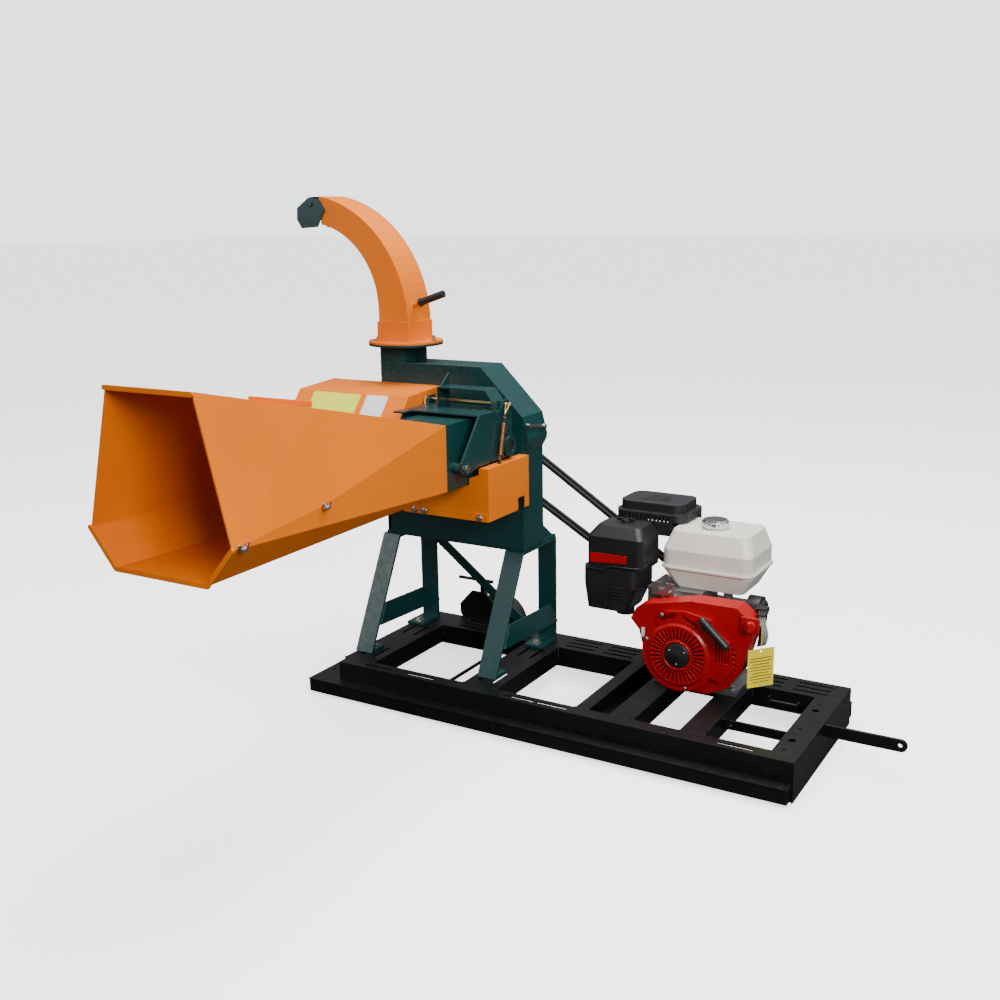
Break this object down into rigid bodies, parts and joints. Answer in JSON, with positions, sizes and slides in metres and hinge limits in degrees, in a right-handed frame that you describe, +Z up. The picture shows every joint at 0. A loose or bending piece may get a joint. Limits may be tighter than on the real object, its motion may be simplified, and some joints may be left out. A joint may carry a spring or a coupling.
{
  "type": "wood chipper",
  "caption": "Skid-mounted disc wood chipper: long sheet feed hopper, sprung feed roller, belt-driven rotor housing, swivelling discharge chute and petrol engine.",
  "frame": {"origin": "centre of the anchor-hole pattern, at floor level under the skid", "axes": "+X along the skid towards the engine and pull bar, +Y across it away from the hopper mouth, +Z up"},
  "size_m": [1.751, 1.4694, 1.3586],
  "materials": {
    "skid_enamel": "gloss black enamel",
    "green_enamel": "gloss dark teal-green enamel",
    "orange_enamel": "gloss orange enamel",
    "tool_steel": "ground steel",
    "rotor_steel": "dark worked steel",
    "cast_grey": "cast iron, lightly oiled",
    "zinc_steel": "bright zinc plating",
    "yellow_zinc": "yellow passivated zinc",
    "spring_steel": "bronze-toned spring wire",
    "grip_rubber": "satin black rubber",
    "belt_rubber": "dull black belt rubber",
    "engine_aluminium": "die-cast aluminium",
    "red_enamel": "gloss red enamel",
    "red_plastic": "red moulded plastic",
    "black_plastic": "fine-textured black plastic",
    "guard_steel": "satin black heat-proof paint",
    "white_enamel": "gloss cream-white enamel",
    "cap_chrome": "bright chrome",
    "tag_paper": "yellow card",
    "tyre_rubber": "black rubber"
  },
  "bodies": {
    "frame": {"front_rail": "skid_enamel", "rear_rail": "skid_enamel", "cross_rails": "skid_enamel", "engine_channels": "skid_enamel", "end_plates": "skid_enamel", "base_rails": "skid_enamel", "tie_bars": "skid_enamel", "pull_bar": "skid_enamel", "stand_legs": "green_enamel", "leg_ties": "green_enamel", "rear_brace": "green_enamel", "pedestal": "green_enamel", "housing_front": "green_enamel", "housing_shell": "green_enamel", "discharge_neck": "green_enamel", "throat_box": "green_enamel", "anvil": "tool_steel", "lower_cover": "orange_enamel", "drive_cover": "orange_enamel", "bearing_stand": "green_enamel", "pillow_blocks": "cast_grey", "pivot_pins": "zinc_steel", "tension_springs": "spring_steel", "hopper_tray": "orange_enamel", "front_hood": "orange_enamel", "rear_hood": "orange_enamel", "wing_nuts": "zinc_steel", "drive_belts": "belt_rubber", "crankcase": "engine_aluminium", "fan_shroud": "red_enamel", "recoil_cover": "red_enamel", "air_cleaner": "black_plastic", "muffler_guard": "guard_steel", "fuel_tank": "white_enamel", "control_bracket": "zinc_steel", "ignition_unit": "black_plastic", "hang_tag": "tag_paper", "frame_bolts": "zinc_steel", "wheel_bracket": "skid_enamel"},
    "rotor": {"rotor_disc": "rotor_steel", "rotor_knives": "tool_steel", "rotor_paddles": "rotor_steel", "rotor_shaft": "tool_steel", "driven_pulley": "cast_grey"},
    "crankshaft": {"engine_pulley": "cast_grey"},
    "feed_arm": {"swing_arm": "green_enamel", "feed_arch": "green_enamel", "spring_rod": "yellow_zinc"},
    "roller": {"feed_roller": "rotor_steel"},
    "chute": {"discharge_chute": "orange_enamel", "chute_grip": "grip_rubber", "chute_clamps": "zinc_steel"},
    "deflector": {"chute_deflector": "green_enamel"},
    "starter": {"starter_handle": "black_plastic"},
    "switch": {"engine_switch": "red_plastic"},
    "cap": {"fuel_cap": "cap_chrome"},
    "throttle": {"throttle_lever": "zinc_steel"},
    "knob": {"cleaner_knob": "black_plastic"},
    "wheel": {"rear_wheel": "tyre_rubber"},
    "latch": {"cover_latch": "zinc_steel"}
  },
  "joints": [
    {"name": "rotor_spin", "type": "hinge", "parent": "frame", "child": "rotor", "pos_m": [-0.378, 0.062, 0.628], "axis": [0, 1, 0], "continuous": true},
    {"name": "crank_spin", "type": "hinge", "parent": "frame", "child": "crankshaft", "pos_m": [0.308, 0.285, 0.208], "axis": [0, 1, 0], "continuous": true},
    {"name": "feed_swing", "type": "hinge", "parent": "frame", "child": "feed_arm", "pos_m": [-0.27, -0.262, 0.694], "axis": [1, 0, 0], "range_deg": [0, 7]},
    {"name": "roller_spin", "type": "hinge", "parent": "feed_arm", "child": "roller", "pos_m": [-0.267, -0.063, 0.718], "axis": [1, 0, 0], "continuous": true},
    {"name": "chute_swivel", "type": "hinge", "parent": "frame", "child": "chute", "pos_m": [-0.552, 0.062, 0.96], "axis": [0, 0, 1], "range_deg": [-150, 150]},
    {"name": "deflector_tilt", "type": "hinge", "parent": "chute", "child": "deflector", "pos_m": [-0.822, 0.062, 1.338], "axis": [0, 1, 0], "range_deg": [-12, 12]},
    {"name": "starter_pull", "type": "slide", "parent": "frame", "child": "starter", "axis": [0, -1, 0], "range_m": [0, 0.04]},
    {"name": "switch_turn", "type": "hinge", "parent": "frame", "child": "switch", "pos_m": [0.496, -0.014, 0.316], "axis": [0, 1, 0], "range_deg": [0, 60]},
    {"name": "cap_turn", "type": "hinge", "parent": "frame", "child": "cap", "pos_m": [0.325, 0.19, 0.51], "axis": [0, 0, 1], "range_deg": [0, 90]},
    {"name": "throttle_turn", "type": "hinge", "parent": "frame", "child": "throttle", "pos_m": [0.232, 0.052, 0.352], "axis": [0, 1, 0], "range_deg": [-45, 15]},
    {"name": "knob_turn", "type": "hinge", "parent": "frame", "child": "knob", "pos_m": [0.104, 0.115, 0.506], "axis": [0, 0, 1], "continuous": true},
    {"name": "wheel_spin", "type": "hinge", "parent": "frame", "child": "wheel", "pos_m": [-0.4, 0.302, 0.086], "axis": [0, 1, 0], "continuous": true},
    {"name": "latch_turn", "type": "hinge", "parent": "frame", "child": "latch", "pos_m": [-0.136, 0.018, 0.758], "axis": [1, 0, 0], "range_deg": [0, 60]}
  ],
  "couplings": [
    {"joint": "crank_spin", "follows": "rotor_spin", "ratio": 1.3636}
  ]
}
